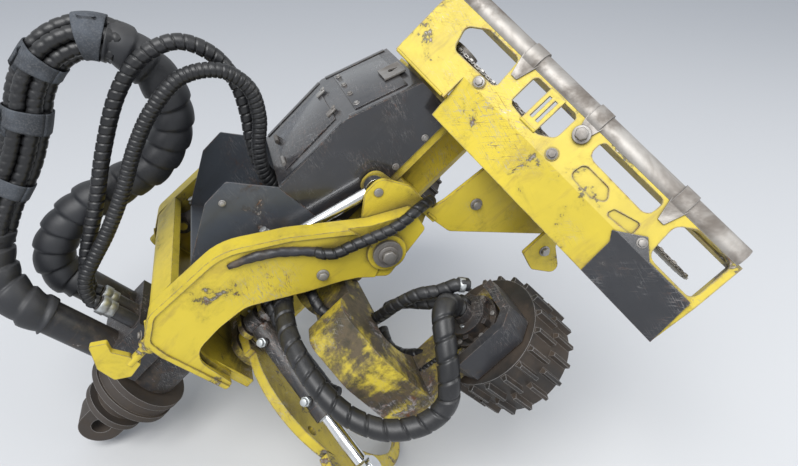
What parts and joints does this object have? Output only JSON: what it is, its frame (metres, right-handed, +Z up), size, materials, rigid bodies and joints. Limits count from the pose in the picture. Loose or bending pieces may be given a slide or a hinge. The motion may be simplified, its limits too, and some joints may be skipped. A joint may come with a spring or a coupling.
{
  "type": "harvester head",
  "caption": "Felling and delimbing head with a tilt frame and rotator, a slewing saw bar in its box, feed rollers on arms and curved delimbing knives on hydraulic cylinders.",
  "frame": {"origin": "middle of the bore for the crane's pin, on the pin's axis", "axes": "+Y along the crane pin, +Z up as the head lies, +X from the hanger towards the head"},
  "size_m": [1.7974, 1.4611, 1.4311],
  "materials": {
    "yellow_paint": "worn yellow paint, scuffed to bare steel along the edges",
    "black_paint": "dusty black paint with worn edges",
    "grey_paint": "grey sheet worn bare where hoses rub",
    "dusty_steel": "cast steel under brown dust",
    "worn_steel": "bare steel polished by wear",
    "roller_steel": "dark steel with worn cleats",
    "chrome_rod": "hard chrome with an oil film",
    "hose_rubber": "black spiral hose guard, dusty"
  },
  "bodies": {
    "hanger": {"hanger": "dusty_steel", "rotator_ring": "dusty_steel"},
    "tilt_frame": {"rotator": "black_paint", "tilt_frame": "yellow_paint", "tilt_pins": "worn_steel", "hose_bracket": "yellow_paint", "hose_manifold": "black_paint", "crane_hoses": "hose_rubber", "tilt_hoses": "hose_rubber"},
    "head": {"chassis": "yellow_paint", "tilt_ears": "yellow_paint", "pivot_lugs": "yellow_paint", "valve_cover": "black_paint", "hose_chute": "grey_paint", "valve_block": "black_paint", "saw_box": "yellow_paint", "saw_wear_bar": "worn_steel", "saw_end_plate": "black_paint", "saw_motor": "black_paint", "top_knife": "yellow_paint", "pivot_shafts": "worn_steel", "roller_hoses_near": "hose_rubber", "roller_hoses_far": "hose_rubber"},
    "saw_bar": {"saw_bar": "worn_steel", "saw_shaft": "worn_steel"},
    "measuring_arm": {"measuring_arm": "black_paint"},
    "measuring_wheel": {"measuring_wheel": "worn_steel"},
    "tilt_barrel_near": {"tilt_barrel_near": "black_paint"},
    "tilt_rod_near": {"tilt_rod_near": "chrome_rod"},
    "knife_near": {"knife_near": "yellow_paint"},
    "knife_barrel_near": {"knife_barrel_near": "black_paint"},
    "knife_rod_near": {"knife_rod_near": "chrome_rod"},
    "roller_arm_near": {"roller_arm_near": "yellow_paint", "roller_motor_near": "black_paint", "roller_guard_near": "black_paint"},
    "feed_roller_near": {"feed_roller_near": "roller_steel"},
    "tilt_barrel_far": {"tilt_barrel_far": "black_paint"},
    "tilt_rod_far": {"tilt_rod_far": "chrome_rod"},
    "knife_far": {"knife_far": "yellow_paint"},
    "knife_barrel_far": {"knife_barrel_far": "black_paint"},
    "knife_rod_far": {"knife_rod_far": "chrome_rod"},
    "roller_arm_far": {"roller_arm_far": "yellow_paint", "roller_motor_far": "black_paint", "roller_guard_far": "black_paint"},
    "feed_roller_far": {"feed_roller_far": "roller_steel"}
  },
  "joints": [
    {"name": "rotator_turn", "type": "hinge", "parent": "hanger", "child": "tilt_frame", "pos_m": [0.15358, 0, 0.14322], "axis": [0.7314, 0, 0.682], "continuous": true},
    {"name": "head_tilt", "type": "hinge", "parent": "tilt_frame", "child": "head", "pos_m": [0.88341, 0, 0.68023], "axis": [0, -1, 0], "range_deg": [0, 90], "deforming": ["tilt_hoses"]},
    {"name": "saw_swing", "type": "hinge", "parent": "head", "child": "saw_bar", "pos_m": [1.14299, -0.11314, 1.135], "axis": [0.7314, 0, 0.682], "range_deg": [0, 85]},
    {"name": "measuring_lift", "type": "hinge", "parent": "head", "child": "measuring_arm", "pos_m": [0.94533, 0, 0.73113], "axis": [0, 1, 0], "range_deg": [0, 15]},
    {"name": "measuring_spin", "type": "hinge", "parent": "measuring_arm", "child": "measuring_wheel", "pos_m": [0.93407, 0, 0.61124], "axis": [0, 1, 0], "continuous": true},
    {"name": "tilt_barrel_near", "type": "hinge", "parent": "tilt_frame", "child": "tilt_barrel_near", "pos_m": [0.34165, -0.209, 0.56471], "axis": [0, -1, 0], "range_deg": [-11.21, 0.5]},
    {"name": "tilt_rod_near", "type": "slide", "parent": "tilt_barrel_near", "child": "tilt_rod_near", "axis": [0.8968, 0, 0.4425], "range_m": [-0.1914, 0.002]},
    {"name": "knife_near", "type": "hinge", "parent": "head", "child": "knife_near", "pos_m": [0.51774, -0.165, 0.33923], "axis": [0.7314, 0, 0.682], "range_deg": [-6, 55]},
    {"name": "knife_barrel_near", "type": "hinge", "parent": "head", "child": "knife_barrel_near", "pos_m": [0.5267, -0.215, 0.45424], "axis": [0.7314, 0, 0.682], "range_deg": [-5.96, 50.59]},
    {"name": "knife_rod_near", "type": "slide", "parent": "knife_barrel_near", "child": "knife_rod_near", "axis": [0.4423, -0.7612, -0.4743], "range_m": [-0.0099, 0.074]},
    {"name": "roller_arm_near", "type": "hinge", "parent": "head", "child": "roller_arm_near", "pos_m": [0.75029, -0.165, 0.51507], "axis": [0.7314, 0, 0.682], "range_deg": [-6, 38], "deforming": ["roller_hoses_near"]},
    {"name": "feed_spin_near", "type": "hinge", "parent": "roller_arm_near", "child": "feed_roller_near", "pos_m": [1.15186, -0.5, 0.46567], "axis": [-0.682, 0, 0.7314], "continuous": true},
    {"name": "tilt_barrel_far", "type": "hinge", "parent": "tilt_frame", "child": "tilt_barrel_far", "pos_m": [0.34165, 0.209, 0.56471], "axis": [0, -1, 0], "range_deg": [-11.21, 0.5]},
    {"name": "tilt_rod_far", "type": "slide", "parent": "tilt_barrel_far", "child": "tilt_rod_far", "axis": [0.8968, 0, 0.4425], "range_m": [-0.1914, 0.002]},
    {"name": "knife_far", "type": "hinge", "parent": "head", "child": "knife_far", "pos_m": [0.54553, 0.165, 0.36514], "axis": [-0.7314, 0, -0.682], "range_deg": [-6, 55]},
    {"name": "knife_barrel_far", "type": "hinge", "parent": "head", "child": "knife_barrel_far", "pos_m": [0.5545, 0.215, 0.48016], "axis": [-0.7314, 0, -0.682], "range_deg": [-5.96, 50.59]},
    {"name": "knife_rod_far", "type": "slide", "parent": "knife_barrel_far", "child": "knife_rod_far", "axis": [0.4423, 0.7612, -0.4743], "range_m": [-0.0099, 0.074]},
    {"name": "roller_arm_far", "type": "hinge", "parent": "head", "child": "roller_arm_far", "pos_m": [0.75029, 0.165, 0.51507], "axis": [-0.7314, 0, -0.682], "range_deg": [-6, 38], "deforming": ["roller_hoses_far"]},
    {"name": "feed_spin_far", "type": "hinge", "parent": "roller_arm_far", "child": "feed_roller_far", "pos_m": [1.15186, 0.5, 0.46567], "axis": [0.682, 0, -0.7314], "continuous": true}
  ],
  "couplings": [
    {"joint": "tilt_barrel_near", "follows": "head_tilt", "ratio": -0.11898},
    {"joint": "tilt_rod_near", "follows": "head_tilt", "m_per_rad": -0.12057},
    {"joint": "knife_barrel_near", "follows": "knife_near", "ratio": 0.91081},
    {"joint": "knife_rod_near", "follows": "knife_near", "m_per_rad": 0.074978},
    {"joint": "tilt_barrel_far", "follows": "head_tilt", "ratio": -0.11898},
    {"joint": "tilt_rod_far", "follows": "head_tilt", "m_per_rad": -0.12057},
    {"joint": "knife_barrel_far", "follows": "knife_far", "ratio": 0.91081},
    {"joint": "knife_rod_far", "follows": "knife_far", "m_per_rad": 0.074978}
  ]
}
